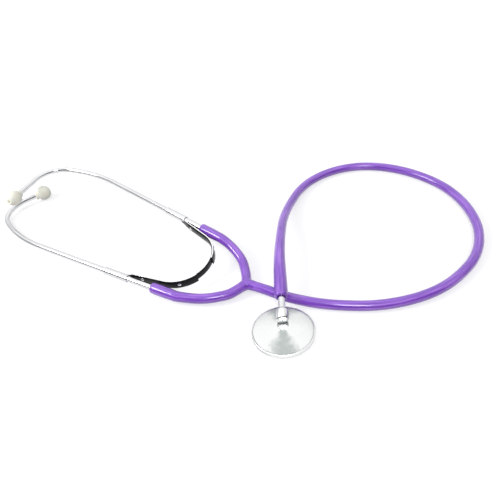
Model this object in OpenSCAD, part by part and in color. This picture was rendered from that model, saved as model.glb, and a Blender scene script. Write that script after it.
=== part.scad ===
// Toy stethoscope lying on a table: chestpiece, looped tubing, spring headset and ear tips.
// Millimetres. The origin is the middle of the chestpiece's listening face, on the table, with Z up.
// X runs along the headset's axis, from the ear tips towards the tubing. Left is +Y, and right is -Y.

/* [Chestpiece] */
// Outer diameter of the ring that holds the diaphragm
chest_d = 40; // [36:0.5:46]
// Height of the ring
ring_h = 3.4; // [2.8:0.1:4.5]
// Wall of the ring beside the body
ring_wall = 0.9; // [0.7:0.1:1.4]
// Width of the lip that holds the diaphragm's edge
ring_lip = 2.2; // [1.6:0.1:3]
// Thickness of the lip
ring_lip_t = 0.8; // [0.5:0.05:1.2]
// Thickness of the diaphragm
diaphragm_t = 0.5; // [0.3:0.05:0.8]
// Thickness of the gasket above the diaphragm's edge
gasket_t = 0.4; // [0.3:0.05:0.8]
// Height of the metal back at its middle
body_h = 6.4; // [5.5:0.1:8]
// Diameter of the flat at the middle of the back
back_flat_d = 11; // [8:0.5:16]
// Depth of the sound cavity under the back, at its middle
cavity_h = 1.6; // [1:0.1:2.4]
// Diameter of the boss that carries the stem
boss_d = 8; // [7:0.25:9.5]
// Reach of the boss from the middle of the chestpiece
boss_reach = 10; // [9:0.25:12]
// Length of the boss
boss_len = 7; // [5:0.25:9]

/* [Stem] */
// Outer diameter of the stem
stem_d = 4.5; // [4:0.1:5.2]
// Bore of the stem
stem_bore = 2.4; // [1.8:0.1:3]
// Height of the stem's axis at the end of the boss
stem_z = 9.9; // [9.6:0.1:11]
// Upward slope of the stem, in degrees
stem_rise = 6; // [4:0.5:9]
// Direction of the stem seen from above, in degrees
stem_turn = 125; // [121:1:128]
// Bare length of the stem between the boss and the tubing
stem_show = 10.5; // [9:0.25:14]
// Length of the stem inside the tubing
stem_grip = 15; // [10:0.5:18]
// Height of the ridge that grips the tubing
barb_h = 0.3; // [0.2:0.05:0.5]

/* [Tubing] */
// Outer diameter of the tubing
tube_d = 7; // [6:0.1:7.2]
// Bore of the tubing's thick ends, past what they hold
tube_bore = 3; // [2.4:0.1:3.6]
// Outer diameter of the thick end at the chestpiece
chest_cuff_d = 9; // [8.6:0.1:9.4]
// Length of the thick end at the chestpiece
chest_cuff_len = 24; // [20:0.5:28]
// Outer diameter of the thick ends at the ear tubes
branch_cuff_d = 8; // [7.4:0.1:8.6]
// Length of the thick ends at the ear tubes
branch_cuff_len = 20.5; // [16:0.5:24]
// Length of the left ear tube inside its thick end
branch_grip = 16; // [14:0.5:18]
// How much less of the right ear tube is inside its thick end
right_cuff_back = 4.5; // [0:0.5:6]
// Diameter of the moulded middle of the Y
hub_d = 8.4; // [7.6:0.1:9.2]
// Thickness of the webs between the arms of the Y
web_t = 3.6; // [2.4:0.1:5]
// Reach of the webs along the arms, as a share of their length
web_reach = 0.6; // [0.4:0.05:0.7]

/* [Spring] */
// Outer radius of the leaf spring's bend
spring_r = 24.5; // [22:0.5:27]
// Thickness of the leaf
leaf_t = 0.7; // [0.5:0.05:1]
// Width of the leaf
leaf_w = 5; // [4:0.1:6]
// Straight length of each end of the leaf
leaf_len = 22; // [20:0.5:24]
// Thickness of the side strips
strip_t = 0.8; // [0.6:0.05:1]
// Width of the side strips
strip_w = 7; // [6:0.1:8]
// Width of the strip's neck at its sleeve
neck_w = 4.6; // [4:0.1:5.4]
// Length of the straight strip before the sleeve
strip_len = 29; // [27:0.5:32]
// Outward lean of the strips, in degrees
strip_lean = 12.5; // [11.5:0.5:15]
// Angle round the bend, from its middle, where each strip starts
strip_start = 20; // [18:1:30]
// Length of the rolled sleeve
sleeve_len = 22; // [18:0.5:28]
// Wall of the rolled sleeve
sleeve_wall = 0.65; // [0.5:0.05:0.9]
// Diameter of the rivets
rivet_d = 1.6; // [1.2:0.1:2]
// Diameter of the rivet heads
rivet_head_d = 3; // [2.6:0.1:3.6]
// Height of the rivet heads
rivet_head_h = 0.5; // [0.3:0.05:0.8]
// Angle round the bend, from its middle, of the first rivet
rivet_turn = 51; // [48:1:60]
// Place of the second rivet along the straight strip
rivet_along = 18; // [14:0.5:19]

/* [Ear tubes] */
// Outer diameter of the ear tubes
ear_tube_d = 4.4; // [4:0.1:4.6]
// Wall of the ear tubes
ear_tube_wall = 0.5; // [0.4:0.05:0.7]
// Outward lean of the ear tubes, in degrees
ear_splay = 5.8; // [4.5:0.1:6.5]
// Straight length of the ear tube from the start of its sleeve
ear_straight = 96; // [90:1:105]
// Radius of the long bend
ear_bend1_r = 127; // [115:1:140]
// Turn of the long bend, in degrees
ear_bend1 = 24; // [20:0.5:27]
// Radius of the short bend
ear_bend2_r = 22; // [20:0.5:26]
// Turn of the short bend, in degrees
ear_bend2 = 92; // [86:0.5:96]
// Straight length from the short bend to the left ear tip
left_stub = 24.5; // [22:0.5:25]
// Straight length from the short bend to the right ear tip
right_stub = 9; // [8:0.5:12]
// Upward twist of the left ear tube in its sleeve, in degrees
left_twist = 10.75; // [10.5:0.25:14]
// Upward twist of the right ear tube in its sleeve, in degrees
right_twist = -4.25; // [-4.75:0.25:-3.75]

/* [Ear tips] */
// Diameter of the ear tip
tip_d = 12.6; // [11.5:0.1:12.8]
// Length of the ear tip
tip_len = 14; // [13:0.25:16]
// Diameter of the ear tip's collar
tip_collar_d = 7.4; // [7:0.1:8.5]
// Length of the ear tip's collar
tip_collar_len = 2.8; // [2:0.1:3.5]
// Diameter of the sound hole
tip_hole_d = 2.4; // [1.8:0.1:3]
// Diameter of the ferrule in the ear tip
ferrule_d = 5.6; // [5.4:0.1:6]
// Length of the ferrule
ferrule_len = 7.5; // [6:0.25:8.5]
// Length of the ear tube past the ear tip's lip
ferrule_in = 8.5; // [7.5:0.25:9]
// Height of the ferrule's threads
thread_h = 0.25; // [0.15:0.05:0.3]
// Pitch of the ferrule's threads
thread_pitch = 1.5; // [1.2:0.1:2]

/* [Fits] */
// Radial clearance of what turns inside another piece
run_clear = 0.05; // [0.02:0.01:0.1]
// Gap between pieces that move past each other
part_gap = 0.3; // [0.25:0.05:0.4]
// Radial clearance of pieces that are pressed or riveted together
press_clear = 0.02; // [0.01:0.01:0.04]

/* [Lie] */
// Sideways roll of the headset, left side up, in degrees
headset_roll = 8; // [7:0.25:9]

/* [Hidden] */
$fn = 64;
eps = 0.01;
cut = 1;

// Colours
tubing_purple = [0.48, 0.27, 0.78];
bright_steel = [0.82, 0.83, 0.85];
dark_steel = [0.09, 0.09, 0.10];
chrome_grey = [0.78, 0.80, 0.82];
tip_white = [0.94, 0.93, 0.86];
film_grey = [0.86, 0.87, 0.86];
seal_grey = [0.25, 0.25, 0.26];

// Chestpiece levels and radii
chest_r = chest_d / 2;
seat_r = chest_r - ring_wall;
edge_r = seat_r - press_clear;
face_r = seat_r - ring_lip;
lip_top = ring_lip_t + press_clear;
edge_top = lip_top + diaphragm_t;
back_low = edge_top + gasket_t;
back_rise = 0.2;
back_edge_h = ring_h + back_rise;
back_land = 0.8;
cavity_r = face_r - back_land;

// Stem and the thick end that holds it, along the stem's own axis
stem_r = stem_d / 2;
stem_wall = 1;
stem_inner = boss_len - stem_wall;
stem_seat = stem_inner - stem_bore;
cuff_start = stem_show;
cuff_end = stem_show + chest_cuff_len;
chest_cuff_r = chest_cuff_d / 2;
chest_cuff_even = 4;
chest_cuff_tail = 0.4;

// Bent metal: how much thinner each next stretch is, and how far it laps into the one before
bend_thin = 0.02;
bend_lap = 0.2;

// Spring, in the headset's own frame: the bend's centre is its origin, and -X leads to the ears
strip_in = spring_r + press_clear;
strip_out = strip_in + strip_t;
strip_turn = 90 - strip_lean;
rivet_r = rivet_d / 2;

// Ear tubes: each starts its count at the mouth of its sleeve
ear_r = ear_tube_d / 2;
ear_bore_r = ear_r - ear_tube_wall;
sleeve_bore_r = ear_r + run_clear;
sleeve_r = sleeve_bore_r + sleeve_wall;
mouth = (strip_out + sleeve_bore_r) * [cos(strip_turn), sin(strip_turn)]
  + strip_len * [-sin(strip_turn), cos(strip_turn)];
branch_cuff_r = branch_cuff_d / 2;
cuff_round = 0.6;
cuff_floor = 2;
branch_mouth = -(branch_cuff_r + part_gap - sleeve_bore_r) / sin(strip_lean - ear_splay);
ear_start = branch_mouth - branch_grip;

// Ear tips, along the end of their tube from the lip
tip_r = tip_d / 2;
tip_lip = 1;
ferrule_r = ferrule_d / 2;
pocket_r = ferrule_r + thread_h + run_clear;
pocket_end = ferrule_in + part_gap;

// Where the headset lies
headset_pos = [-97.5, 14, 9.5];

// Middle of the Y and the ends of its three arms
hub = [-42.5, 20.3, 5];
main_arm = [-32.5, 21.7, 5];
left_arm = [-48, 27, 5];
right_arm = [-45, 11.4, 5];

// Tubing from the Y, round its loop and over itself to the chestpiece
tube_r = tube_d / 2;
tube_sides = 12;
main_points = [[-26, 22.8, 4.5], [-18, 24.1, 3.7], [-7, 26.2, 3.6], [8, 30.6, 3.6], [23.3, 37.5, 3.6],
  [38.4, 46.5, 3.6], [51.9, 58.2, 3.6], [63.2, 72.2, 3.6], [71.2, 87.5, 3.6], [76.1, 104.7, 3.6],
  [78.1, 122, 3.6], [76, 140.2, 3.6], [69.6, 158.3, 3.6], [59.3, 174.3, 3.6], [46.5, 187.6, 3.6],
  [30.6, 198.2, 3.6], [12.3, 204.4, 3.6], [-7, 206.5, 3.6], [-26.2, 203.9, 3.6], [-43.2, 196.5, 3.6],
  [-56.6, 184.6, 3.6], [-65.8, 169.5, 3.6], [-70.6, 153, 3.7], [-70.9, 136.2, 4.2], [-67.6, 119.5, 5.3],
  [-62.7, 103.7, 7.2], [-56.4, 88.6, 9.6], [-49.1, 74.9, 11.9], [-41.5, 61.7, 13.4], [-34, 49.3, 13.9]];
left_points = [[-52.1, 31.3, 5.4], [-58.2, 36.5, 6.9], [-65.8, 40, 9.2], [-73.9, 42.2, 11.5]];
right_points = [[-47.2, 5.8, 5], [-51.8, 0.5, 5], [-57.2, -4.5, 5], [-64, -8.8, 5], [-71.3, -12.2, 5.2]];

// What differs between the two sides
function twist(side) = side > 0 ? left_twist : right_twist;
function stub(side) = side > 0 ? left_stub : right_stub;
function cuff_mouth(side) = branch_mouth - (side > 0 ? 0 : right_cuff_back);
function cuff_root(side) = cuff_mouth(side) - branch_cuff_len;

function unit(v) = v / norm(v);
function headset_dir(v) = [v.x, v.y * cos(headset_roll) - v.z * sin(headset_roll),
  v.y * sin(headset_roll) + v.z * cos(headset_roll)];
function ear_axis(side) = [-cos(ear_splay), side * sin(ear_splay), 0];
function ear_point(side, along) = headset_pos
  + headset_dir([mouth.x, side * mouth.y, 0] + along * ear_axis(side));
function stem_dir() = [cos(stem_turn) * cos(stem_rise), sin(stem_turn) * cos(stem_rise), sin(stem_rise)];
function stem_point(along) = [boss_reach * cos(stem_turn), boss_reach * sin(stem_turn), stem_z]
  + along * stem_dir();

// Rings of points along a route, square to it, with the two end rings square to given directions
function route_dir(route, i, first, last) = i == 0 ? unit(first)
  : i == len(route) - 1 ? unit(last) : unit(route[i + 1] - route[i - 1]);
function ring(centre, along, r, sides) = let(
  across = unit(cross([0, 0, 1], along)),
  over = cross(along, across))
  [for (k = [0:sides - 1]) centre + r * (cos(360 * k / sides) * across + sin(360 * k / sides) * over)];

module swept_tube(route, first, last, r, sides) {
  rings = len(route);
  points = [for (i = [0:rings - 1]) each ring(route[i], route_dir(route, i, first, last), r, sides)];
  walls = [for (i = [0:rings - 2], k = [0:sides - 1])
    let(a = i * sides + k, b = i * sides + (k + 1) % sides)
    each [[a, a + sides, b], [b, a + sides, b + sides]]];
  caps = [[for (k = [0:sides - 1]) k], [for (k = [sides - 1:-1:0]) (rings - 1) * sides + k]];
  polyhedron(points, concat(walls, caps));
}

// A round bar from one point to another
module bar(from, to, r) {
  v = to - from;
  translate(from)
    rotate([0, acos(v.z / norm(v)), atan2(v.y, v.x)])
      cylinder(h = norm(v), r = r);
}

module on_stem() {
  translate(stem_point(0))
    rotate([0, 90 - stem_rise, stem_turn])
      children();
}

module in_headset() {
  translate(headset_pos)
    rotate([headset_roll, 0, 0])
      children();
}

module on_side(side) {
  in_headset()
    mirror([0, side < 0 ? 1 : 0, 0])
      children();
}

// The ear tube's frame: X along the tube from the sleeve's mouth, Y inwards, Z up out of the headset
module on_ear_axis(side) {
  on_side(side)
    translate([mouth.x, mouth.y, 0])
      rotate([0, 0, 180 - ear_splay])
        children();
}

module x_cylinder(from, to, r) {
  translate([from, 0, 0])
    rotate([0, 90, 0])
      cylinder(h = to - from, r = r);
}

// Moves to the end of a bend towards +Y
module past_bend(r, turn) {
  translate([r * sin(turn), r * (1 - cos(turn)), 0])
    rotate([0, 0, turn])
      children();
}

// Moves to the lip of the ear tip, with X along the tip
module on_tip(side) {
  on_ear_axis(side)
    rotate([twist(side), 0, 0])
      translate([ear_straight, 0, 0])
        past_bend(ear_bend1_r, ear_bend1)
          past_bend(ear_bend2_r, ear_bend2)
            translate([stub(side), 0, 0])
              children();
}

// Chestpiece

module diaphragm() {
  color(film_grey)
    rotate_extrude()
      polygon([[0, 0], [face_r - part_gap, 0], [face_r - part_gap, lip_top], [edge_r, lip_top],
        [edge_r, edge_top], [face_r - part_gap - diaphragm_t, edge_top],
        [face_r - part_gap - diaphragm_t, diaphragm_t], [0, diaphragm_t]]);
}

module diaphragm_gasket() {
  color(seal_grey)
    rotate_extrude()
      polygon([[cavity_r, edge_top], [edge_r, edge_top], [edge_r, back_low], [cavity_r, back_low]]);
}

module retaining_ring() {
  lip_low = 0.1;
  round = 0.4;
  color(bright_steel)
    rotate_extrude()
      polygon([[face_r, lip_low], [chest_r - round, lip_low], [chest_r, lip_low + round],
        [chest_r, ring_h - round], [chest_r - round, ring_h], [seat_r, ring_h], [seat_r, ring_lip_t],
        [face_r, ring_lip_t]]);
}

module chestpiece_back() {
  flat_r = back_flat_d / 2;
  cavity_flat = 2;
  step = 0.8;
  color(bright_steel)
    difference() {
      union() {
        rotate_extrude()
          polygon([[0, back_low + cavity_h], [cavity_flat, back_low + cavity_h], [cavity_r, back_low],
            [edge_r, back_low], [edge_r, back_edge_h - step / 2], [edge_r - step, back_edge_h],
            [flat_r, body_h], [0, body_h]]);
        intersection() {
          on_stem()
            translate([0, 0, -boss_len])
              cylinder(h = boss_len, r = boss_d / 2);
          translate([0, 0, back_low + cavity_h])
            cylinder(h = chest_d, r = chest_r);
        }
      }
      on_stem()
        translate([0, 0, -stem_inner])
          cylinder(h = stem_inner + cut, r = stem_r + press_clear);
      translate(stem_point(-stem_inner + stem_bore / 2) - [0, 0, stem_z])
        cylinder(h = stem_z, r = stem_bore / 2);
    }
}

module stem() {
  color(chrome_grey)
    on_stem()
      difference() {
        union() {
          translate([0, 0, -stem_seat])
            cylinder(h = stem_seat + cuff_start + stem_grip, r = stem_r);
          for (i = [1, 2])
            translate([0, 0, cuff_start + i * stem_grip / 3])
              cylinder(h = stem_grip / 6, r1 = stem_r + barb_h, r2 = stem_r);
        }
        translate([0, 0, -stem_inner])
          cylinder(h = stem_inner + cuff_end, r = stem_bore / 2);
      }
}

// Tubing

module chest_cuff() {
  color(tubing_purple)
    on_stem()
      difference() {
        rotate_extrude()
          polygon([[0, cuff_start], [chest_cuff_r - cuff_round, cuff_start],
            [chest_cuff_r, cuff_start + cuff_round], [chest_cuff_r, cuff_start + chest_cuff_even],
            [tube_r + chest_cuff_tail, cuff_end], [0, cuff_end]]);
        translate([0, 0, cuff_start - cut])
          cylinder(h = stem_grip + cut + part_gap, r = stem_r + barb_h + run_clear);
        cylinder(h = cuff_end - cuff_floor, r = tube_bore / 2);
      }
}

module main_tube() {
  color(tubing_purple)
    swept_tube(concat([main_arm], main_points, [stem_point(cuff_end)]), main_arm - hub, -stem_dir(),
      tube_r, tube_sides);
}

module y_junction() {
  arms = [main_arm, left_arm, right_arm];
  hub_turn = 40;
  color(tubing_purple) {
    translate(hub)
      rotate([0, 90, hub_turn])
        sphere(d = hub_d);
    for (arm = arms)
      bar(hub, arm, tube_r);
    for (i = [0:2])
      hull()
        for (v = [[0, 0, 0], arms[i] - hub, arms[(i + 1) % 3] - hub])
          translate(hub + web_reach * v)
            cylinder(h = web_t, r = tube_r / 2, center = true, $fn = 24);
  }
}

module branch(side, arm, points) {
  color(tubing_purple)
    swept_tube(concat([arm], points, [ear_point(side, cuff_root(side))]), arm - hub,
      headset_dir(ear_axis(side)), tube_r, tube_sides);
}

module left_branch() {
  branch(1, left_arm, left_points);
}

module right_branch() {
  branch(-1, right_arm, right_points);
}

module branch_cuff(side) {
  color(tubing_purple)
    on_ear_axis(side)
      difference() {
        translate([cuff_root(side), 0, 0])
          rotate([0, 90, 0])
            rotate_extrude()
              polygon([[0, 0], [tube_r, 0], [branch_cuff_r, branch_cuff_len / 2],
                [branch_cuff_r, branch_cuff_len - cuff_round], [branch_cuff_r - cuff_round, branch_cuff_len],
                [0, branch_cuff_len]]);
        x_cylinder(ear_start - part_gap, cuff_mouth(side) + cut, sleeve_bore_r);
        x_cylinder(cuff_root(side) + cuff_floor, cuff_mouth(side), tube_bore / 2);
      }
}

module left_cuff() {
  branch_cuff(1);
}

module right_cuff() {
  branch_cuff(-1);
}

// Spring

// Moves to the straight part of a strip: X along it, Y outwards from the bend's centre
module on_strip() {
  rotate([0, 0, strip_turn + 90])
    mirror([0, 1, 0])
      children();
}

// Moves to each rivet of one side, with Z outwards from the bend
module at_rivets(from) {
  rotate([0, 0, rivet_turn])
    translate([from, 0, 0])
      rotate([0, 90, 0])
        children();
  on_strip()
    translate([rivet_along, from, 0])
      rotate([-90, 0, 0])
        children();
}

module curved_leaf(inner, outer, width, from, to) {
  rotate([0, 0, from])
    rotate_extrude(angle = to - from)
      translate([inner, -width / 2])
        square([outer - inner, width]);
}

module leaf_spring() {
  leaf_in = spring_r - leaf_t;
  color(dark_steel)
    in_headset()
      difference() {
        union() {
          curved_leaf(leaf_in, spring_r, leaf_w, -strip_turn, strip_turn);
          for (side = [0, 1])
            mirror([0, side, 0])
              on_strip()
                translate([-bend_lap, leaf_in + bend_thin, bend_thin - leaf_w / 2])
                  cube([leaf_len + bend_lap, leaf_t - 2 * bend_thin, leaf_w - 2 * bend_thin]);
        }
        for (side = [0, 1])
          mirror([0, side, 0])
            at_rivets(leaf_in - cut)
              cylinder(h = leaf_t + 2 * cut, r = rivet_r + run_clear);
      }
}

module strip(side) {
  taper = 5;
  in_sleeve = 4;
  half = strip_w / 2 - bend_thin;
  color(dark_steel)
    difference() {
      union() {
        on_side(side)
          curved_leaf(strip_in, strip_out, strip_w, strip_start, strip_turn);
        on_side(side)
          on_strip()
            translate([0, strip_out - bend_thin, 0])
              rotate([90, 0, 0])
                linear_extrude(strip_t - 2 * bend_thin)
                  polygon([[-bend_lap, -half], [strip_len - taper, -half], [strip_len, -neck_w / 2],
                    [strip_len + in_sleeve, -neck_w / 2], [strip_len + in_sleeve, neck_w / 2],
                    [strip_len, neck_w / 2], [strip_len - taper, half], [-bend_lap, half]]);
        on_ear_axis(side)
          x_cylinder(0, sleeve_len, sleeve_r);
      }
      on_ear_axis(side)
        x_cylinder(-taper, sleeve_len + cut, sleeve_bore_r);
      on_side(side)
        at_rivets(strip_in - cut)
          cylinder(h = strip_t + 2 * cut, r = rivet_r + press_clear);
    }
}

module left_strip() {
  strip(1);
}

module right_strip() {
  strip(-1);
}

module rivets(side) {
  leaf_in = spring_r - leaf_t;
  head_gap = part_gap / 2;
  color(bright_steel)
    on_side(side)
      at_rivets(leaf_in)
        rotate_extrude()
          polygon([[0, -head_gap - rivet_head_h], [rivet_head_d / 3, -head_gap - rivet_head_h],
            [rivet_head_d / 2, -head_gap], [rivet_r, -head_gap],
            [rivet_r, strip_out - leaf_in + head_gap], [rivet_head_d / 2, strip_out - leaf_in + head_gap],
            [rivet_head_d / 3, strip_out - leaf_in + head_gap + rivet_head_h],
            [0, strip_out - leaf_in + head_gap + rivet_head_h]]);
}

module left_rivets() {
  rivets(1);
}

module right_rivets() {
  rivets(-1);
}

// Ear tubes and ear tips

// The wall of an ear tube, drawn a little thinner on both sides where it is bent
module tube_section(thin) {
  difference() {
    circle(r = ear_r - thin);
    circle(r = ear_bore_r + thin);
  }
}

module straight_ear_tube(from, to) {
  translate([from, 0, 0])
    rotate([0, 90, 0])
      linear_extrude(to - from)
        tube_section(0);
}

module bent_ear_tube(r, turn, thin) {
  lap = bend_lap / r * 180 / PI;
  translate([0, r, 0])
    rotate([0, 0, -90 - lap])
      rotate_extrude(angle = turn + 2 * lap)
        translate([r, 0])
          tube_section(thin);
}

module ear_tube(side) {
  color(chrome_grey)
    on_ear_axis(side)
      rotate([twist(side), 0, 0]) {
        straight_ear_tube(ear_start, ear_straight);
        translate([ear_straight, 0, 0]) {
          bent_ear_tube(ear_bend1_r, ear_bend1, bend_thin);
          past_bend(ear_bend1_r, ear_bend1) {
            bent_ear_tube(ear_bend2_r, ear_bend2, 2 * bend_thin);
            past_bend(ear_bend2_r, ear_bend2)
              straight_ear_tube(0, stub(side) + ferrule_in);
          }
        }
      }
}

module left_ear_tube() {
  ear_tube(1);
}

module right_ear_tube() {
  ear_tube(-1);
}

module ferrule(side) {
  first = ferrule_in - ferrule_len;
  threads = floor((ferrule_len - thread_pitch) / thread_pitch);
  color(chrome_grey)
    on_tip(side)
      difference() {
        union() {
          x_cylinder(first, ferrule_in, ferrule_r);
          for (i = [1:threads])
            translate([first + i * thread_pitch, 0, 0])
              rotate([0, 90, 0])
                cylinder(h = thread_pitch / 2, r1 = ferrule_r + thread_h, r2 = ferrule_r);
        }
        x_cylinder(first - cut, ferrule_in + cut, ear_r + press_clear);
      }
}

module left_ferrule() {
  ferrule(1);
}

module right_ferrule() {
  ferrule(-1);
}

module ear_tip(side) {
  collar_r = tip_collar_d / 2;
  hole_lip = 0.6;
  core = tip_r / 4;
  dome = tip_len - tip_collar_len;
  swell = 0.4 * dome;
  color(tip_white)
    on_tip(side)
      difference() {
        rotate([0, 90, 0])
          rotate_extrude()
            polygon(concat([[0, 0], [collar_r, 0], [collar_r, tip_collar_len]],
              [for (a = [-60:15:75])
                [core + (tip_r - core) * cos(a), tip_collar_len + swell
                  + (a < 0 ? swell : dome - swell) * sin(a) / (a < 0 ? sin(60) : 1)]],
              [[tip_hole_d / 2 + hole_lip, tip_len], [0, tip_len]]));
        x_cylinder(-cut, tip_lip + cut, ear_r + run_clear);
        x_cylinder(tip_lip - eps, pocket_end, pocket_r);
        x_cylinder(tip_lip, tip_len + cut, tip_hole_d / 2);
      }
}

module left_ear_tip() {
  ear_tip(1);
}

module right_ear_tip() {
  ear_tip(-1);
}

diaphragm();
diaphragm_gasket();
retaining_ring();
chestpiece_back();
stem();
chest_cuff();
main_tube();
y_junction();
left_branch();
right_branch();
left_cuff();
right_cuff();
leaf_spring();
left_strip();
right_strip();
left_rivets();
right_rivets();
left_ear_tube();
right_ear_tube();
left_ferrule();
right_ferrule();
left_ear_tip();
right_ear_tip();
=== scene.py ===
"""Looks of the toy stethoscope: camera, tubing, sprung headset and chestpiece, in metres."""

import math

import bpy
from mathutils import Matrix, Vector


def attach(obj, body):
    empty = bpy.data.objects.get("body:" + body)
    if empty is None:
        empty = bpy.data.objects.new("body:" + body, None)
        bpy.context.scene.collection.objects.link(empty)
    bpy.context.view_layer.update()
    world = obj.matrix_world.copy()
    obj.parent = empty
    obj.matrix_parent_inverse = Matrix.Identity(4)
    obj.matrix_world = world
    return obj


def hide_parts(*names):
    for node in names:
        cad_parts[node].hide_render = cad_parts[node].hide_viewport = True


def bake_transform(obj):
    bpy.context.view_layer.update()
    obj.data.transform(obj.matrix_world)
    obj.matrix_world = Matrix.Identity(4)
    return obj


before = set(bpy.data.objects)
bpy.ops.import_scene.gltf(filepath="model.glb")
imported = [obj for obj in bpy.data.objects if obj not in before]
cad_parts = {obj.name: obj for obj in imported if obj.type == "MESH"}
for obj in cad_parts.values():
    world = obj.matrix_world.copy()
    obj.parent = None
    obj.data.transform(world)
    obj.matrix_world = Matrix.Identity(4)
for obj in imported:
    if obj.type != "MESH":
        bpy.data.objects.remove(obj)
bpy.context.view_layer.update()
scene = bpy.context.scene
scene.view_settings.view_transform = "Standard"

UP = Vector((0, 0, 1))

# Camera, room and table
CAMERA_PLACE = Vector((0.1159, -0.1609, 0.2367))
CAMERA_AIM = Vector((-0.0654, 0.0552, 0))
CAMERA_ROLL = 6.77
CAMERA_LENS = 34.92
CAMERA_SENSOR = 36
MIDDLE = (-0.06, 0.06, 0)
LAMP_POWER = 6.5
LAMPS = (
    ("soft lamp above", (-0.40, 0.25, 1.30), 2.4),
    ("lamp in front", (0.55, -0.65, 1.0), 0.4),
    ("lamp on the left", (-0.75, -0.60, 0.7), 0.4),
)
ROOM_LIGHT = 0.42
ROOM_TILT = (-0.32, 0.44, 1)
ROOM_BAND = ((0.0, 0.03), (0.22, 0.03), (0.36, 0.85), (0.5, 1.0))
TABLE_SIZE = 6
TABLE_DROP = 0.0001
TABLE_MATT = 0.42
TABLE_PALE = 0.5
TABLE_GLOW = {"From Min": 0.3, "From Max": 1.2, "To Min": 0.58, "To Max": 1.0}

# Where most of a noise lies
NOISE_LOW = 0.3
NOISE_HIGH = 0.7

# Degrees per facet of a bend
BAND_FACET = 2.5
EAR_FACET = 3

# The headset's own frame: its origin is the middle of the spring's bend, and -X leads to the ears
HEADSET = Matrix.Translation((-0.0975, 0.014, 0.0095)) @ Matrix.Rotation(math.radians(8), 4, "X")
SIDES = {"left": 1, "right": -1}
TWIST = {"left": 10.75, "right": -4.25}

# Spring and strips, with angles counted round the bend from its middle
SPRING_R = 0.0245
LEAF_T = 0.0007
LEAF_W = 0.005
LEAF_LEN = 0.022
LEAF_END = 0.7
LEAF_EDGE = 0.00012
STRIP_IN = 0.02452
STRIP_T = 0.0008
STRIP_W = 0.007
STRIP_LEN = 0.029
STRIP_EDGE = 0.00014
STRIP_NECK = ((0.0022, 0.86), (0.0018, 0.585), (0.0012, 0.45), (0.0035, 0.45))
STRIP_START = 20
STRIP_TURN = 77.5
RIVET_TURN = 51
RIVET_ALONG = 0.018

# Ear tubes with their sleeves and thick hose ends, counted along each from its sleeve's mouth
SPLAY = 5.8
EAR_R = 0.0022
SLEEVE_R = 0.0029
SLEEVE_LEN = 0.022
SLEEVE_GAP = 0.00005
MOUTH = Vector((-0.022345, 0.033193, 0))
CUFF_MOUTH = {"left": -0.01757, "right": -0.02207}
CUFF_LEN = 0.0205
CUFF_FLARE = 0.024
CUFF_R = 0.004
CUFF_LIP = ((0.003, 0), (0.0014, 0.00006), (0.0006, 0.0003), (0.00015, 0.0008), (0, 0.0013))
CUFF_BORE = ((0.0001, 0.0003), (0.0005, 0.00005), (0.003, 0.00005))
EAR_START = -0.03357
EAR_STRAIGHT = 0.096
EAR_BENDS = ((0.127, 24), (0.022, 92))
EAR_STUB = {"left": 0.0245, "right": 0.009}
EAR_IN_TIP = 0.0085

# Tubing
TUBE_R = 0.0035
UNDER_Y = 0.006
Y_THICKER = 0.0005
Y_THINNER = 0.00025
WEB_R = 0.0031
WEB_OUT = 0.0018
WEB_FLAT = 0.85
HUB = Vector((-0.0425, 0.0203, 0.005))
MAIN_ARM = Vector((-0.0325, 0.0217, 0.005))
LEFT_ARM = Vector((-0.048, 0.027, 0.005))
RIGHT_ARM = Vector((-0.045, 0.0114, 0.005))
MAIN_POINTS = [
    (-0.026, 0.0228, 0.0045), (-0.018, 0.0241, 0.0037), (-0.007, 0.0262, 0.0036),
    (0.008, 0.0306, 0.0036), (0.0233, 0.0375, 0.0036), (0.0384, 0.0465, 0.0036),
    (0.0519, 0.0582, 0.0036), (0.0632, 0.0722, 0.0036), (0.0712, 0.0875, 0.0036),
    (0.0761, 0.1047, 0.0036), (0.0781, 0.122, 0.0036), (0.076, 0.1402, 0.0036),
    (0.0696, 0.1583, 0.0036), (0.0593, 0.1743, 0.0036), (0.0465, 0.1876, 0.0036),
    (0.0306, 0.1982, 0.0036), (0.0123, 0.2044, 0.0036), (-0.007, 0.2065, 0.0036),
    (-0.0262, 0.2039, 0.0036), (-0.0432, 0.1965, 0.0036), (-0.0566, 0.1846, 0.0036),
    (-0.0658, 0.1695, 0.0036), (-0.0706, 0.153, 0.0037), (-0.0709, 0.1362, 0.0042),
    (-0.0676, 0.1195, 0.0053), (-0.0627, 0.1037, 0.0072), (-0.0564, 0.0886, 0.0096),
    (-0.0491, 0.0749, 0.0119), (-0.0415, 0.0617, 0.0134), (-0.034, 0.0493, 0.0139),
]
BRANCH_POINTS = {
    "left": [(-0.0521, 0.0313, 0.0054), (-0.0582, 0.0365, 0.0069), (-0.0658, 0.040, 0.0092),
             (-0.0739, 0.0422, 0.0115)],
    "right": [(-0.0472, 0.0058, 0.005), (-0.0518, 0.0005, 0.005), (-0.0572, -0.0045, 0.005),
              (-0.064, -0.0088, 0.005), (-0.0713, -0.0122, 0.0052)],
}
BRANCH_ARM = {"left": LEFT_ARM, "right": RIGHT_ARM}

# Stem of the chestpiece
STEM_TURN = 125
STEM_RISE = 6
STEM_R = 0.00225
BOSS_REACH = 0.010
STEM_Z = 0.0099
STEM_BORE_R = 0.0012
STEM_ROOT = 0.0035
STEM_GRIP = 0.015

# The hose's flared end on the stem, counted along it from the boss
FLARE_MOUTH = 0.0105
FLARE_END = 0.0345
FLARE_LEN = 0.040
FLARE_R = 0.0045
FLARE_SKIN = 0.00003
FLARE_LIP = ((0.0018, 0), (0.0009, 0.0001), (0.0003, 0.0005), (0, 0.0012))
FLARE_BORE = ((0.0001, 0.0005), (0.0006, 0.0001), (0.003, 0.0001))


# Camera and light


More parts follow.
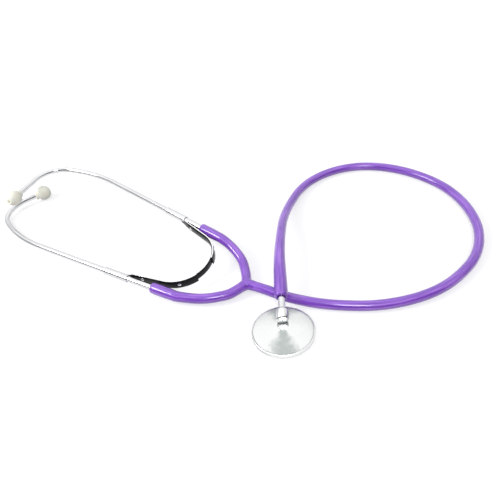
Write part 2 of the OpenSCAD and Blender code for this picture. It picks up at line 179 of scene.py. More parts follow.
def set_camera():
    ahead = (CAMERA_AIM - CAMERA_PLACE).normalized()
    right = ahead.cross(UP).normalized()
    up = right.cross(ahead)
    roll = math.radians(CAMERA_ROLL)
    across = math.cos(roll) * right - math.sin(roll) * up
    above = math.sin(roll) * right + math.cos(roll) * up
    camera = bpy.data.objects.new("camera", bpy.data.cameras.new("camera"))
    scene.collection.objects.link(camera)
    turn = Matrix((across, above, -ahead)).transposed().to_4x4()
    camera.matrix_world = Matrix.Translation(CAMERA_PLACE) @ turn
    camera.data.sensor_width = CAMERA_SENSOR
    camera.data.lens = CAMERA_LENS
    camera.data.clip_start = 0.01
    camera.data.clip_end = 20
    scene.camera = camera


def seen_ray(tree):
    """1 for rays of the camera, of reflections and of what is seen through, and 0 for the rest."""
    path = tree.nodes.new("ShaderNodeLightPath")
    first = tree.nodes.new("ShaderNodeMath")
    first.operation = "MAXIMUM"
    tree.links.new(path.outputs["Is Camera Ray"], first.inputs[0])
    tree.links.new(path.outputs["Is Glossy Ray"], first.inputs[1])
    both = tree.nodes.new("ShaderNodeMath")
    both.operation = "MAXIMUM"
    tree.links.new(first.outputs[0], both.inputs[0])
    tree.links.new(path.outputs["Is Transmission Ray"], both.inputs[1])
    return both.outputs[0]


def room_wall(tree):
    """What reflections show of the room: white, with a dark band low round it.

    The band is taller towards the front. The camera itself sees plain white.
    """
    where = tree.nodes.new("ShaderNodeTexCoord")
    lower = tree.nodes.new("ShaderNodeVectorMath")
    lower.operation = "DOT_PRODUCT"
    tree.links.new(where.outputs["Generated"], lower.inputs[0])
    lower.inputs[1].default_value = ROOM_TILT
    band = tree.nodes.new("ShaderNodeValToRGB")
    stops = band.color_ramp.elements
    while len(stops) < len(ROOM_BAND):
        stops.new(0.5)
    for stop, (at, level) in zip(stops, ROOM_BAND):
        stop.position = at
        stop.color = (level, level, level, 1)
    tree.links.new(lower.outputs["Value"], band.inputs["Fac"])
    path = tree.nodes.new("ShaderNodeLightPath")
    pick = tree.nodes.new("ShaderNodeMix")
    pick.data_type = "RGBA"
    colours = [socket for socket in pick.inputs if socket.type == "RGBA"]
    tree.links.new(path.outputs["Is Camera Ray"], pick.inputs["Factor"])
    tree.links.new(band.outputs["Color"], colours[0])
    colours[1].default_value = (1, 1, 1, 1)
    return next(socket for socket in pick.outputs if socket.type == "RGBA")


def set_room():
    world = bpy.data.worlds.new("white room")
    world.use_nodes = True
    tree = world.node_tree
    tree.nodes.clear()
    light = tree.nodes.new("ShaderNodeBackground")
    light.inputs["Color"].default_value = (0.97, 0.98, 1.0, 1)
    light.inputs["Strength"].default_value = ROOM_LIGHT
    shown = tree.nodes.new("ShaderNodeBackground")
    tree.links.new(room_wall(tree), shown.inputs["Color"])
    shown.inputs["Strength"].default_value = 1.0
    mix = tree.nodes.new("ShaderNodeMixShader")
    out = tree.nodes.new("ShaderNodeOutputWorld")
    tree.links.new(seen_ray(tree), mix.inputs[0])
    tree.links.new(light.outputs[0], mix.inputs[1])
    tree.links.new(shown.outputs[0], mix.inputs[2])
    tree.links.new(mix.outputs[0], out.inputs["Surface"])
    scene.world = world


def add_lamp(name, place, size):
    lamp = bpy.data.objects.new(name, bpy.data.lights.new(name, "AREA"))
    lamp.data.size = size
    lamp.data.energy = LAMP_POWER
    scene.collection.objects.link(lamp)
    lamp.location = place
    ahead = Vector(MIDDLE) - Vector(place)
    lamp.rotation_euler = ahead.to_track_quat("-Z", "Y").to_euler()


def set_floor():
    bpy.ops.mesh.primitive_plane_add(size=TABLE_SIZE, location=(*MIDDLE[:2], -TABLE_DROP))
    floor = bpy.context.object
    floor.name = "table"
    bpy.ops.object.transform_apply()
    paint = bpy.data.materials.new("white table")
    paint.use_nodes = True
    tree = paint.node_tree
    tree.nodes.clear()
    matt = tree.nodes.new("ShaderNodeBsdfDiffuse")
    matt.inputs["Color"].default_value = (TABLE_MATT, TABLE_MATT, TABLE_MATT, 1)
    pale = tree.nodes.new("ShaderNodeBsdfDiffuse")
    pale.inputs["Color"].default_value = (TABLE_PALE, TABLE_PALE, TABLE_PALE, 1)
    where = tree.nodes.new("ShaderNodeTexCoord")
    far = tree.nodes.new("ShaderNodeVectorMath")
    far.operation = "LENGTH"
    tree.links.new(where.outputs["Object"], far.inputs[0])
    level = tree.nodes.new("ShaderNodeMapRange")
    for socket, value in TABLE_GLOW.items():
        level.inputs[socket].default_value = value
    tree.links.new(far.outputs["Value"], level.inputs["Value"])
    glow = tree.nodes.new("ShaderNodeEmission")
    glow.inputs["Color"].default_value = (1, 1, 1, 1)
    tree.links.new(level.outputs["Result"], glow.inputs["Strength"])
    bright = tree.nodes.new("ShaderNodeAddShader")
    mix = tree.nodes.new("ShaderNodeMixShader")
    out = tree.nodes.new("ShaderNodeOutputMaterial")
    tree.links.new(pale.outputs[0], bright.inputs[0])
    tree.links.new(glow.outputs[0], bright.inputs[1])
    tree.links.new(seen_ray(tree), mix.inputs[0])
    tree.links.new(matt.outputs[0], mix.inputs[1])
    tree.links.new(bright.outputs[0], mix.inputs[2])
    tree.links.new(mix.outputs[0], out.inputs["Surface"])
    floor.data.materials.append(paint)


# Materials


class Finish:
    """A material on one Principled shader, with the few node chains that the finishes share."""

    def __init__(self, name, **constant):
        self.material = bpy.data.materials.new(name)
        self.material.use_nodes = True
        self.tree = self.material.node_tree
        self.shader = self.tree.nodes["Principled BSDF"]
        for socket, value in constant.items():
            self.shader.inputs[socket.replace("_", " ")].default_value = value

    def node(self, kind, **settings):
        made = self.tree.nodes.new(kind)
        for key, value in settings.items():
            setattr(made, key, value)
        return made

    def link(self, start, end):
        self.tree.links.new(start, end)

    def math(self, operation, first, second):
        made = self.node("ShaderNodeMath", operation=operation)
        for socket, value in zip(made.inputs, (first, second)):
            if isinstance(value, (int, float)):
                socket.default_value = value
            else:
                self.link(value, socket)
        return made.outputs[0]

    def place(self, scale=(1, 1, 1), turn=(0, 0, 0)):
        where = self.node("ShaderNodeTexCoord")
        mapping = self.node("ShaderNodeMapping")
        mapping.inputs["Scale"].default_value = scale
        mapping.inputs["Rotation"].default_value = turn
        self.link(where.outputs["Object"], mapping.inputs["Vector"])
        return mapping.outputs["Vector"]

    def noise(self, vector, scale, detail=3.0, rough=0.5):
        made = self.node("ShaderNodeTexNoise")
        made.inputs["Scale"].default_value = scale
        made.inputs["Detail"].default_value = detail
        made.inputs["Roughness"].default_value = rough
        self.link(vector, made.inputs["Vector"])
        return made.outputs["Fac"]

    def ramp(self, value, *stops):
        made = self.node("ShaderNodeValToRGB")
        points = made.color_ramp.elements
        while len(points) < len(stops):
            points.new(0.5)
        for point, (at, colour) in zip(points, stops):
            point.position = at
            point.color = (*colour, 1)
        self.link(value, made.inputs["Fac"])
        return made.outputs["Color"]

    def span(self, value, low, high):
        made = self.node("ShaderNodeMapRange")
        made.inputs["From Min"].default_value = NOISE_LOW
        made.inputs["From Max"].default_value = NOISE_HIGH
        made.inputs["To Min"].default_value = low
        made.inputs["To Max"].default_value = high
        self.link(value, made.inputs["Value"])
        return made.outputs["Result"]

    def bump(self, height, strength, distance):
        made = self.node("ShaderNodeBump")
        made.inputs["Strength"].default_value = strength
        made.inputs["Distance"].default_value = distance
        self.link(height, made.inputs["Height"])
        self.link(made.outputs["Normal"], self.shader.inputs["Normal"])

    def colour(self, socket):
        self.link(socket, self.shader.inputs["Base Color"])

    def tint(self, value, low, high):
        self.colour(self.ramp(value, (NOISE_LOW, low), (NOISE_HIGH, high)))

    def roughness(self, socket):
        self.link(socket, self.shader.inputs["Roughness"])


def along_hose(finish, stretch):
    """Coordinates that follow a hose: its length, and the two sides of a circle round it."""
    uv = finish.node("ShaderNodeUVMap", uv_map="hose")
    parts = finish.node("ShaderNodeSeparateXYZ")
    finish.link(uv.outputs["UV"], parts.inputs[0])
    angle = finish.math("MULTIPLY", parts.outputs["Y"], 2 * math.pi)
    joined = finish.node("ShaderNodeCombineXYZ")
    finish.link(finish.math("MULTIPLY", parts.outputs["X"], stretch), joined.inputs[0])
    finish.link(finish.math("SINE", angle, 0), joined.inputs[1])
    finish.link(finish.math("COSINE", angle, 0), joined.inputs[2])
    return joined.outputs[0]


def purple_vinyl(name, follows_hose):
    """Soft glossy vinyl, a little uneven, with faint lengthwise streaks whose pale lilac is a
    painted highlight.
    """
    finish = Finish(name, IOR=1.5, Coat_Weight=0.9, Coat_Roughness=0.13)
    where = along_hose(finish, stretch=14) if follows_hose else finish.place(scale=(80, 80, 130))
    painted_highlight_streaks = finish.noise(where, scale=3.2, detail=4, rough=0.55)
    # Painted highlight: the pale lilac stop paints lengthwise highlight streaks into the colour;
    # the same noise varies the roughness.
    finish.colour(finish.ramp(
        painted_highlight_streaks,
        (0.32, (0.145, 0.030, 0.41)),
        (0.50, (0.215, 0.058, 0.54)),
        (0.66, (0.34, 0.135, 0.68)),
    ))
    finish.roughness(finish.span(painted_highlight_streaks, low=0.26, high=0.38))
    grain = finish.noise(finish.place(), scale=900, detail=2)
    finish.bump(grain, strength=0.12, distance=0.0002)
    return finish.material


def bright_chrome(name, tone=0.70):
    """Plated tube: bright, with fine haze and hairline scratches."""
    finish = Finish(name, Metallic=1.0)
    haze = finish.noise(finish.place(scale=(40, 320, 320)), scale=1.0, detail=4)
    finish.tint(
        haze,
        low=(tone * 0.9, tone * 0.91, tone * 0.93),
        high=(tone, tone * 1.01, tone * 1.03),
    )
    finish.roughness(finish.span(haze, low=0.07, high=0.16))
    hairlines = finish.noise(finish.place(scale=(300, 2600, 2600)), scale=1.0, detail=2)
    finish.bump(hairlines, strength=0.04, distance=0.0001)
    return finish.material


def dark_spring_steel():
    """Blackened spring steel: a dark glossy skin with a fine grain along the band."""
    finish = Finish("dark spring steel", IOR=1.4, Specular_IOR_Level=0.2)
    grain = finish.noise(finish.place(scale=(60, 60, 1500)), scale=1.0, detail=4)
    finish.tint(grain, low=(0.004, 0.004, 0.005), high=(0.012, 0.012, 0.013))
    finish.roughness(finish.span(grain, low=0.20, high=0.34))
    finish.bump(grain, strength=0.05, distance=0.0001)
    return finish.material


def turned_metal(name, pale, reflected_dark, reflection_turn):
    """Lathe-turned light metal: fine rings, and a painted reflection that changes round the
    middle: two opposite dark wedges, the bow-tie reflection of turned metal painted into the
    colour.
    """
    finish = Finish(name, Metallic=1.0, Anisotropic=0.45)
    where = finish.place()
    # Painted reflection: the angle round the middle gives two opposite dark wedges that pull the
    # colour towards its dark stop.
    angle = finish.node("ShaderNodeTexGradient", gradient_type="RADIAL")
    finish.link(finish.place(turn=(0, 0, math.radians(reflection_turn))), angle.inputs["Vector"])
    two_turns = finish.math("MULTIPLY", angle.outputs["Fac"], 4 * math.pi)
    wave = finish.math("COSINE", two_turns, 0)
    rings = finish.node("ShaderNodeTexWave", wave_type="RINGS", rings_direction="Z")
    rings.inputs["Scale"].default_value = 900
    rings.inputs["Distortion"].default_value = 1.2
    rings.inputs["Detail"].default_value = 2
    finish.link(where, rings.inputs["Vector"])
    patch = finish.noise(where, scale=140, detail=3)
    mixed = finish.math("MULTIPLY", wave, 0.34)
    for part, share in ((patch, 0.5), (rings.outputs["Fac"], 0.06)):
        mixed = finish.math("ADD", mixed, finish.math("MULTIPLY", part, share))
    finish.colour(finish.ramp(mixed, (0.0, reflected_dark), (0.2, pale), (0.7, pale)))
    finish.roughness(finish.span(patch, low=0.2, high=0.3))
    finish.bump(rings.outputs["Fac"], strength=0.1, distance=0.00005)
    return finish.material


def soft_white():
    """Soft moulded tip: milky, satin, and a little uneven."""
    finish = Finish("soft white", Subsurface_Weight=0.12, Subsurface_Scale=0.002, IOR=1.45)
    cloud = finish.noise(finish.place(), scale=260, detail=3)
    finish.tint(cloud, low=(0.88, 0.865, 0.75), high=(0.93, 0.92, 0.83))
    finish.roughness(finish.span(cloud, low=0.36, high=0.5))
    grain = finish.noise(finish.place(), scale=1800, detail=2)
    finish.bump(grain, strength=0.08, distance=0.0002)
    return finish.material


def pale_film():
    """Smooth plastic film, a little cloudy."""
    finish = Finish("pale film", IOR=1.5, Coat_Weight=0.2, Coat_Roughness=0.1)
    cloud = finish.noise(finish.place(), scale=180, detail=4)
    finish.tint(cloud, low=(0.70, 0.715, 0.71), high=(0.78, 0.79, 0.785))
    finish.roughness(finish.span(cloud, low=0.22, high=0.34))
    grain = finish.noise(finish.place(), scale=1200, detail=2)
    finish.bump(grain, strength=0.06, distance=0.0001)
    return finish.material


def dark_seal():
    """Matt dark rubber."""
    finish = Finish("dark seal", IOR=1.5)
    grain = finish.noise(finish.place(), scale=900, detail=3)
    finish.tint(grain, low=(0.03, 0.03, 0.032), high=(0.055, 0.055, 0.058))
    finish.roughness(finish.span(grain, low=0.5, high=0.7))
    finish.bump(grain, strength=0.15, distance=0.0002)
    return finish.material


# Lines that pieces follow


def smooth_line(points, first, last, steps=8):
    """A smooth line through points, which leaves along first and arrives along last."""
    points = [Vector(p) for p in points]
    before = points[0] - first.normalized() * (points[1] - points[0]).length
    after = points[-1] + last.normalized() * (points[-1] - points[-2]).length
    row = [before] + points + [after]
    line = []
    for i in range(1, len(row) - 2):
        a, b, c, d = row[i - 1:i + 3]
        for k in range(steps):
            t = k / steps
            line.append(0.5 * (2 * b + (c - a) * t + (2 * a - 5 * b + 4 * c - d) * t ** 2
                               + (3 * b - a - 3 * c + d) * t ** 3))
    return line + [points[-1]]


def line_length(line):
    return sum((b - a).length for a, b in zip(line, line[1:]))


def line_marks(line):
    marks = [0.0]
    for a, b in zip(line, line[1:]):
        marks.append(marks[-1] + (b - a).length)
    return marks


def on_line(line, marks, at):
    """The point and direction at a distance along a line."""
    i = 0
    while i < len(line) - 2 and marks[i + 1] < at:
        i += 1
    share = (at - marks[i]) / (marks[i + 1] - marks[i])
    here = line[i].lerp(line[i + 1], share)
    before = (line[i] - line[i - 1]).normalized() if i else (line[1] - line[0]).normalized()
    this = (line[i + 1] - line[i]).normalized()
    after = (line[i + 2] - line[i + 1]).normalized() if i < len(line) - 2 else this
    start = (before + this).normalized()
    end = (this + after).normalized()
    return here, start.lerp(end, min(max(share, 0), 1)).normalized()


def side_frame(side):
    return HEADSET @ Matrix.Diagonal((1, SIDES[side], 1, 1))


def ear_frame(side):
    """X along the ear tube from the mouth of its sleeve, Y inwards, Z up out of the headset."""
    turn = Matrix.Rotation(math.radians(180 - SPLAY), 4, "Z")
    return side_frame(side) @ Matrix.Translation(MOUTH) @ turn


def ear_line(side):
    """The ear tube's own line, from inside the hose to inside its ear tip."""
    points = [Vector((EAR_START, 0, 0)), Vector((0, 0, 0)), Vector((EAR_STRAIGHT, 0, 0))]
    here, heading = points[-1], 0.0
    for radius, turn in EAR_BENDS:
        steps = max(12, int(turn / EAR_FACET))
        centre = here + radius * Vector((-math.sin(heading), math.cos(heading), 0))
        for k in range(1, steps + 1):
            a = heading + math.radians(turn) * k / steps
            points.append(centre + radius * Vector((math.sin(a), -math.cos(a), 0)))
        here, heading = points[-1], heading + math.radians(turn)
    ahead = Vector((math.cos(heading), math.sin(heading), 0))
    points.append(here + ahead * EAR_STUB[side])
    points.append(here + ahead * (EAR_STUB[side] + EAR_IN_TIP))
    place = ear_frame(side) @ Matrix.Rotation(math.radians(TWIST[side]), 4, "X")
    return [place @ p for p in points]


def stem_direction():
    turn, rise = math.radians(STEM_TURN), math.radians(STEM_RISE)
    level = math.cos(rise)
    return Vector((math.cos(turn) * level, math.sin(turn) * level, math.sin(rise)))


def stem_point(along):
    turn = math.radians(STEM_TURN)
    foot = Vector((BOSS_REACH * math.cos(turn), BOSS_REACH * math.sin(turn), STEM_Z))
    return foot + along * stem_direction()


# Ways of making a piece


def hose(name, line, rings, sides=32):
    """A closed round piece along a line: each ring is a distance along it and a radius there."""
    marks = line_marks(line)
    points, faces, uvs = [], [], []
    for at, radius in rings:
        here, ahead = on_line(line, marks, at)
        across = UP.cross(ahead).normalized()
        over = ahead.cross(across)
        for k in range(sides):
            a = 2 * math.pi * k / sides
            points.append(here + radius * (math.cos(a) * across + math.sin(a) * over))
    for i in range(len(rings) - 1):
        for k in range(sides):
            n = (k + 1) % sides
            a, b = i * sides, (i + 1) * sides
            faces.append((a + k, a + n, b + n, b + k))
            u, w = rings[i][0], rings[i + 1][0]
            v, x = k / sides, (k + 1) / sides
            uvs += [(u, v), (u, x), (w, x), (w, v)]
    for ring, turn in ((0, -1), (len(rings) - 1, 1)):
        u = rings[ring][0]
        centre, _ = on_line(line, marks, u)
        points.append(centre)
        for k in range(sides):
            a, b = ring * sides + k, ring * sides + (k + 1) % sides
            faces.append((a, b, len(points) - 1)[::turn])
            uvs += [(u, k / sides), (u, (k + 1) / sides), (u, k / sides)][::turn]
    mesh = bpy.data.meshes.new(name)
    mesh.from_pydata(points, [], faces)
    layer = mesh.uv_layers.new(name="hose")
    for corner, uv in zip(layer.data, uvs):
        corner.uv = uv
    piece = bpy.data.objects.new(name, mesh)
    scene.collection.objects.link(piece)
    smooth(piece, crease=40)
    return piece


def only(piece):
    bpy.ops.object.select_all(action="DESELECT")
    piece.select_set(True)
    bpy.context.view_layer.objects.active = piece


def smooth(piece, crease):
    only(piece)
    bpy.ops.object.shade_smooth_by_angle(angle=math.radians(crease))


def tidy_normals(piece):
    only(piece)
    bpy.ops.object.mode_set(mode="EDIT")
    bpy.ops.mesh.select_all(action="SELECT")
    bpy.ops.mesh.remove_doubles(threshold=0.000002)
    bpy.ops.mesh.normals_make_consistent(inside=False)
    bpy.ops.object.mode_set(mode="OBJECT")


def put(piece, place):
    """Moves a finished shape to its place, and leaves its object at the origin."""
    only(piece)
    piece.matrix_world = place
    bpy.ops.object.transform_apply(location=True, rotation=True, scale=True)


def turned(name, profile, place=Matrix(), sides=96, crease=35):
    """A turned piece: a circle, drawn up step by step along its profile of radius and height."""
    radius, height = profile[0]
    bpy.ops.object.select_all(action="DESELECT")
    bpy.ops.mesh.primitive_circle_add(
        vertices=sides, radius=radius, fill_type="NGON", location=(0, 0, height))
    piece = bpy.context.object
    piece.name = name
    bpy.ops.object.transform_apply()
    bpy.ops.object.mode_set(mode="EDIT")
    bpy.ops.mesh.select_all(action="SELECT")
    for next_radius, next_height in profile[1:]:
        bpy.ops.mesh.extrude_region_move(
            TRANSFORM_OT_translate={"value": (0, 0, next_height - height)})
        share = next_radius / radius
        bpy.ops.transform.resize(value=(share, share, 1), center_override=(0, 0, next_height))
        radius, height = next_radius, next_height
    bpy.ops.object.mode_set(mode="OBJECT")
    put(piece, place)
    tidy_normals(piece)
    smooth(piece, crease)
    return piece


def along(point, direction):
    """A place with Z along a direction."""
    return Matrix.Translation(point) @ direction.to_track_quat("Z", "Y").to_matrix().to_4x4()


def finish_piece(piece, body, slot, material, *nodes):
    piece.data.materials.clear()
    piece.data.materials.append(material)
    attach(piece, body)
    if nodes:
        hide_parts(*nodes)


# Tubing


def ease(share):
    """A share from 0 to 1 that starts and ends gently."""
    return share * share * (3 - 2 * share)


def even_rings(end, radius, step=0.0025):
    count = max(2, int(end / step))
    return [(end * k / count, radius) for k in range(count + 1)]


def blunt_mouth(end, outer, lip, inner, bore):
    """Rings of a hose's blunt end: its rounded lip, and the start of its bore."""
    rings = [(end - back, outer - less) for back, less in lip]
    return rings + [(end - back, inner + more) for back, more in bore]


def make_main_tube(material):
    route = [MAIN_ARM] + MAIN_POINTS + [stem_point(FLARE_END)]
    line = smooth_line(route, MAIN_ARM - HUB, -stem_direction())
    line.insert(0, MAIN_ARM + (HUB - MAIN_ARM).normalized() * UNDER_Y)
    length = line_length(line)
    tube = hose("main_tube_hose", line, even_rings(length, TUBE_R))
    finish_piece(tube, "tubing", "tubing", material, "main_tube")
    return line


def make_chest_cuff(material, main_line):
    """The hose's flared end, from where it starts to widen to its blunt mouth on the stem."""
    tail = line_length(main_line) - FLARE_LEN
    marks = line_marks(main_line)
    start, _ = on_line(main_line, marks, tail)
    nearest = 0.0005
    lead = 0.008
    straight = 0.004
    steps = 20
    line = [start] + [p for p, m in zip(main_line, marks) if m > tail + nearest]
    line.append(stem_point(FLARE_MOUTH + lead))
    line.append(stem_point(FLARE_MOUTH))
    end = line_length(line)
    rings = []
    for k in range(steps + 1):
        share = k / steps
        rings.append((share * (end - straight),
                      TUBE_R + FLARE_SKIN + (FLARE_R - TUBE_R) * ease(share)))
    rings += blunt_mouth(end, FLARE_R, FLARE_LIP, STEM_R, FLARE_BORE)
    piece = hose("chest_cuff_hose", line, rings, sides=40)
    finish_piece(piece, "tubing", "tubing", material, "chest_cuff")


def make_branch(side, material):
    """One branch, from the Y to its blunt thick end on the ear tube."""
    arm = BRANCH_ARM[side]
    axis = ear_frame(side)
    root = axis @ Vector((CUFF_MOUTH[side] - CUFF_LEN, 0, 0))
    mouth = axis @ Vector((CUFF_MOUTH[side], 0, 0))
    line = smooth_line([arm] + BRANCH_POINTS[side] + [root], arm - HUB, mouth - root)
    line.insert(0, arm + (HUB - arm).normalized() * UNDER_Y)
    bend = line_length(line)
    line.append(mouth)
    end = line_length(line)
    thin_end = bend - CUFF_FLARE / 2
    steps = 12
    rings = even_rings(thin_end, TUBE_R)
    for k in range(1, steps + 1):
        share = k / steps
        rings.append((thin_end + share * CUFF_FLARE, TUBE_R + (CUFF_R - TUBE_R) * ease(share)))
    rings += blunt_mouth(end, CUFF_R, CUFF_LIP, EAR_R, CUFF_BORE)
    piece = hose(side + "_branch_hose", line, rings)
    piece.data.materials.append(material)
    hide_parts(side + "_branch", side + "_cuff")
    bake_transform(piece)


def make_y_junction(material):
    """The moulded Y: three bars and their webs, run together with soft fillets."""
    bpy.ops.object.select_all(action="DESELECT")
    bars = []
    arms = [MAIN_ARM, LEFT_ARM, RIGHT_ARM]
    for arm in arms:
        ahead = arm - HUB
        bpy.ops.mesh.primitive_cone_add(
            vertices=48, radius1=TUBE_R + Y_THICKER, radius2=TUBE_R - Y_THINNER,
            depth=ahead.length)
        bar = bpy.context.object
        put(bar, along(HUB + ahead / 2, ahead))
        bars.append(bar)
    for arm, beside in zip(arms, arms[1:] + arms[:1]):
        middle = (HUB * 2 + arm + beside) / 4
        ahead = (middle - HUB).normalized()
        bpy.ops.mesh.primitive_uv_sphere_add(radius=WEB_R, segments=32, ring_count=16)
        web = bpy.context.object
        flat = Matrix.Diagonal((1, 1, WEB_FLAT, 1))
        put(web, Matrix.Translation(HUB + ahead * WEB_OUT) @ flat)
        bars.append(web)
    bpy.ops.object.select_all(action="DESELECT")
    for bar in bars:
        bar.select_set(True)
    bpy.context.view_layer.objects.active = bars[0]
    bpy.ops.object.join()
    piece = bpy.context.object
    piece.name = "y_junction_moulding"
    blend = piece.modifiers.new("run together", "REMESH")
    blend.mode = "VOXEL"
    blend.voxel_size = 0.00035
    bpy.ops.object.modifier_apply(modifier=blend.name)
    soften = piece.modifiers.new("soften", "SMOOTH")
    soften.factor = 0.5
    soften.iterations = 14
    bpy.ops.object.modifier_apply(modifier=soften.name)
    smooth(piece, crease=60)
    finish_piece(piece, "tubing", "tubing", material, "y_junction")


# Headset


def bent_band(name, inner, outer, width, start, end, straight):
    """A flat band in the headset's frame: its end is spun round the bend and drawn out straight.

    Each step of the straight part has a length, and a width as a share of the band's.
    """
    bpy.ops.object.select_all(action="DESELECT")
    bpy.ops.mesh.primitive_plane_add(size=1)
    piece = bpy.context.object
    piece.name = name
    a = math.radians(start)
    out = Vector((math.cos(a), math.sin(a), 0))
    middle = out * (inner + outer) / 2
    place = Matrix((out, UP, out.cross(UP))).transposed().to_4x4()
    section = Matrix.Diagonal((outer - inner, width, 1, 1))
    put(piece, Matrix.Translation(middle) @ place @ section)
    bpy.ops.object.mode_set(mode="EDIT")
    bpy.ops.mesh.select_all(action="SELECT")
    steps = max(8, int((end - start) / BAND_FACET))
    bpy.ops.mesh.spin(steps=steps, angle=math.radians(start - end), center=(0, 0, 0), axis=UP)
    a = math.radians(end)
    ahead = Vector((-math.sin(a), math.cos(a), 0))
    wide = 1
    for step, share in straight:
        bpy.ops.mesh.extrude_region_move(TRANSFORM_OT_translate={"value": ahead * step})
        bpy.ops.transform.resize(value=(1, 1, share / wide), center_override=(0, 0, 0))
        wide = share
    bpy.ops.object.mode_set(mode="OBJECT")
    return piece


def round_edges(piece, width):
    only(piece)
    bevel = piece.modifiers.new("edges", "BEVEL")
    bevel.width = width
    bevel.segments = 2
    bevel.limit_method = "ANGLE"
    bevel.angle_limit = math.radians(50)
    bpy.ops.object.modifier_apply(modifier=bevel.name)


def bright_rims(piece, face, rim):
    """Gives the band's narrow rims a brighter finish than its two flats."""
    piece.data.materials.clear()
    piece.data.materials.append(face)
    piece.data.materials.append(rim)
    up = HEADSET.to_3x3() @ UP
    steep = 0.85
    for polygon in piece.data.polygons:
        polygon.material_index = 1 if abs(polygon.normal.dot(up)) > steep else 0


def flex_with_arm(piece):
    """Bakes the band's place into its mesh, and leaves its object at the origin."""
    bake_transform(piece)


def make_leaf_half(side, material):
    steps = [(LEAF_LEN * 0.5, 1), (LEAF_LEN * 0.42, 1), (LEAF_LEN * 0.08, LEAF_END)]
    piece = bent_band(side + "_leaf", SPRING_R - LEAF_T, SPRING_R, LEAF_W, 0, STRIP_TURN, steps)
    put(piece, side_frame(side))
    tidy_normals(piece)
    round_edges(piece, LEAF_EDGE)
    piece.data.materials.append(material)
    smooth(piece, crease=30)
    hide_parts("leaf_spring")
    flex_with_arm(piece)


def make_strip(side, face, rim, chrome):
    """A side strip with bright rims and a neck, and the rolled sleeve that holds the ear tube."""
    steps = [(STRIP_LEN * 0.4, 1), (STRIP_LEN * 0.42, 1), *STRIP_NECK]
    piece = bent_band(side + "_strip_band", STRIP_IN, STRIP_IN + STRIP_T, STRIP_W,
                      STRIP_START, STRIP_TURN, steps)
    put(piece, side_frame(side))
    tidy_normals(piece)
    round_edges(piece, STRIP_EDGE)
    bright_rims(piece, face, rim)
    smooth(piece, crease=30)
    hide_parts(side + "_strip")
    flex_with_arm(piece)
    line = [ear_frame(side) @ Vector((x, 0, 0)) for x in (0, SLEEVE_LEN / 2, SLEEVE_LEN)]
    bore = EAR_R + SLEEVE_GAP
    lip = [(0.002, bore), (0.0001, bore), (0, bore + 0.00015), (0, SLEEVE_R - 0.0002),
           (0.0002, SLEEVE_R)]
    other_lip = [(SLEEVE_LEN - at, radius) for at, radius in reversed(lip)]
    rings = lip + [(SLEEVE_LEN * 0.5, SLEEVE_R)] + other_lip
    sleeve = hose(side + "_rolled_sleeve", line, rings, sides=40)
    finish_piece(sleeve, side + "_arm", "spring_steel", chrome)


def make_rivets(side, material):
    """The heads of a strip's two rivets, on the strip and inside the leaf."""
    a, b = math.radians(RIVET_TURN), math.radians(STRIP_TURN)
    out_a = Vector((math.cos(a), math.sin(a), 0))
    out_b = Vector((math.cos(b), math.sin(b), 0))
    ahead = Vector((-math.sin(b), math.cos(b), 0))
    head = [(0.0007, -0.0006), (0.0007, 0), (0.00125, 0), (0.00122, 0.00018), (0.00100, 0.0004),
            (0.0006, 0.00055), (0.0002, 0.0006)]
    outer, inner = STRIP_IN + STRIP_T, SPRING_R - LEAF_T
    shift = ahead * RIVET_ALONG
    spots = [(out_a * outer, out_a), (out_a * inner, -out_a),
             (out_b * outer + shift, out_b), (out_b * inner + shift, -out_b)]
    flip = side_frame(side)
    heads = [turned(side + "_rivet_head", head, along(flip @ p, flip.to_3x3() @ d), sides=32)
             for p, d in spots]
    only(heads[0])
    for extra in heads[1:]:
        extra.select_set(True)
    bpy.ops.object.join()
    piece = bpy.context.object
    piece.name = side + "_rivet_heads"
    finish_piece(piece, side + "_arm", "rivet_metal", material, side + "_rivets")


def make_ear_tube(side, material):
    line = ear_line(side)
    rings = even_rings(line_length(line), EAR_R, step=0.0015)
    piece = hose(side + "_ear_tube_chrome", line, rings, sides=28)
    finish_piece(piece, side + "_tube", "tube_metal", material, side + "_ear_tube")
    return line


def make_ear_tip(side, line, material):
    """A soft mushroom tip, with a rolled collar and a sound hole."""
    lip, ahead = line[-2], (line[-1] - line[-2]).normalized()
    profile = [
        (0.00225, 0.0030), (0.00225, 0.0002), (0.0026, 0), (0.0033, 0), (0.0036, 0.0003),
        (0.0037, 0.0010), (0.0036, 0.0018), (0.0034, 0.0024), (0.0035, 0.0028), (0.0042, 0.0030),
        (0.0050, 0.0034), (0.0057, 0.0043), (0.0061, 0.0055), (0.0063, 0.0070), (0.0062, 0.0085),
        (0.0058, 0.0100), (0.0051, 0.0114), (0.0041, 0.0126), (0.0030, 0.0134), (0.0020, 0.0138),
        (0.0015, 0.01385), (0.0012, 0.0136), (0.0011, 0.0120),
    ]
    piece = turned(side + "_ear_tip_soft", profile, along(lip, ahead), sides=64, crease=50)
    finish_piece(piece, side + "_tip", "ear_tip", material, side + "_ear_tip")


# Chestpiece


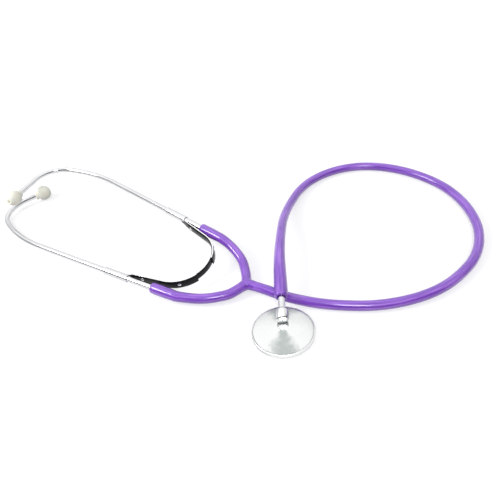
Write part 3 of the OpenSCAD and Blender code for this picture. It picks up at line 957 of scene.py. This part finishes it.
def make_chestpiece(turned_back, turned_ring, chrome):
    """The back with its boss, the ring and the stem, each as a profile of radius and height."""
    profile = [
        (0.0170, 0.0020), (0.0190, 0.0020), (0.01902, 0.0031), (0.01892, 0.00338),
        (0.0186, 0.00352), (0.0179, 0.0037), (0.0160, 0.0042), (0.0120, 0.0050), (0.0080, 0.0058),
        (0.0060, 0.0062), (0.0052, 0.00635), (0.0030, 0.0064), (0.0005, 0.0064),
    ]
    back = turned("chestpiece_back_turned", profile, sides=160, crease=25)
    finish_piece(back, "chestpiece", "chest_metal", turned_back, "chestpiece_back")
    profile = [
        (0.0172, 0.0008), (0.0170, 0.0005), (0.0170, 0.0003), (0.0173, 0.0001), (0.0194, 0.0001),
        (0.0198, 0.0003), (0.0200, 0.0007), (0.0200, 0.0027), (0.0199, 0.0031), (0.0196, 0.00335),
        (0.01925, 0.0034), (0.01915, 0.00335), (0.0191, 0.0032), (0.0191, 0.0008),
    ]
    ring = turned("retaining_ring_turned", profile, sides=160)
    finish_piece(ring, "chestpiece", "chest_metal", turned_ring, "retaining_ring")
    axis = along(stem_point(0), stem_direction())
    profile = [
        (0.0006, -0.0070), (0.0030, -0.0070), (0.0037, -0.0067), (0.0040, -0.0060),
        (0.0040, -0.0008), (0.0038, -0.0003), (0.0034, 0), (0.0027, 0), (0.0025, -0.0002),
        (0.00235, -0.0006), (0.00235, -0.003),
    ]
    boss = turned("stem_boss_turned", profile, axis, sides=64)
    finish_piece(boss, "chestpiece", "chest_metal", turned_ring)
    bead_r = STEM_R + 0.0003
    end = FLARE_MOUTH + STEM_GRIP
    profile = [
        (STEM_BORE_R, -STEM_ROOT), (STEM_R, -STEM_ROOT), (STEM_R, 0.0012), (bead_r, 0.0014),
        (bead_r, 0.0022), (STEM_R, 0.0024), (STEM_R, FLARE_MOUTH + 0.004), (STEM_R, end - 0.0004),
        (STEM_R - 0.0004, end), (STEM_BORE_R, end),
    ]
    stem = turned("stem_chrome", profile, axis, sides=64)
    finish_piece(stem, "chestpiece", "stem_metal", chrome, "stem")


set_camera()
set_room()
for lamp in LAMPS:
    add_lamp(*lamp)
set_floor()

hose_vinyl = purple_vinyl("purple vinyl hose", follows_hose=True)
main_line = make_main_tube(hose_vinyl)
make_chest_cuff(hose_vinyl, main_line)
make_y_junction(purple_vinyl("purple vinyl moulding", follows_hose=False))

chrome = bright_chrome("bright chrome")
edge_metal = bright_chrome("bright edge", tone=0.9)
spring_face = dark_spring_steel()
white = soft_white()
for side in SIDES:
    make_branch(side, hose_vinyl)
    make_leaf_half(side, spring_face)
    make_strip(side, spring_face, edge_metal, chrome)
    make_rivets(side, edge_metal)
    make_ear_tip(side, make_ear_tube(side, chrome), white)

# The back and the ring carry painted bow-tie reflections; the last number turns them round the
# middle.
make_chestpiece(
    turned_metal("turned back", pale=(0.72, 0.735, 0.73), reflected_dark=(0.40, 0.43, 0.42), reflection_turn=-35),
    turned_metal("turned ring", pale=(0.78, 0.79, 0.79), reflected_dark=(0.55, 0.56, 0.57), reflection_turn=20),
    chrome,
)

left_as_solid = {
    "diaphragm": pale_film(),
    "diaphragm_gasket": dark_seal(),
    "left_ferrule": chrome,
    "right_ferrule": chrome,
}
for node, material in left_as_solid.items():
    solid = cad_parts[node]
    solid.data.materials.clear()
    solid.data.materials.append(material)
